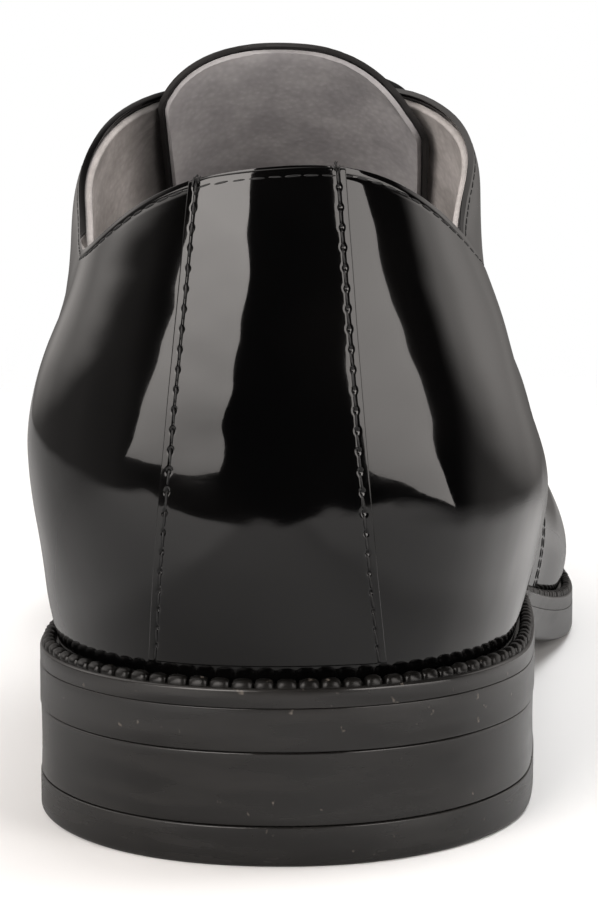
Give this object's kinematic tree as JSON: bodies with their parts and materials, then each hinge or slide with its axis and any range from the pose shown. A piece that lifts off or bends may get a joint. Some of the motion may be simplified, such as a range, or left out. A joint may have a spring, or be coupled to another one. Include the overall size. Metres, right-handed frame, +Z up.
{
  "type": "dress shoe",
  "caption": "Right-foot open-laced dress shoe in glossy patent leather, with a plain toe, a wide back strip, a raised tongue, a beaded welt and a low stacked heel.",
  "frame": {"origin": "centre of the footprint of the whole shoe, on the floor it stands on", "axes": "+Y from heel to toe, +X towards the outer (lateral) side of the foot, +Z up"},
  "size_m": [0.1017, 0.3063, 0.1115],
  "materials": {
    "patent_leather": "high-gloss black patent leather",
    "lining_leather": "matt grey lining leather",
    "sole_rubber": "satin black rubber",
    "lace_cord": "round waxed black cord"
  },
  "bodies": {
    "root": {"outsole": "sole_rubber", "heel_lift": "sole_rubber", "heel_top_piece": "sole_rubber", "welt": "sole_rubber", "insole": "lining_leather", "upper": "patent_leather", "back_strip": "patent_leather", "tongue": "patent_leather", "lace_bar_1": "lace_cord", "lace_bar_2": "lace_cord", "lace_bar_3": "lace_cord", "lace_bar_4": "lace_cord", "lace_bar_5": "lace_cord"}
  },
  "joints": []
}
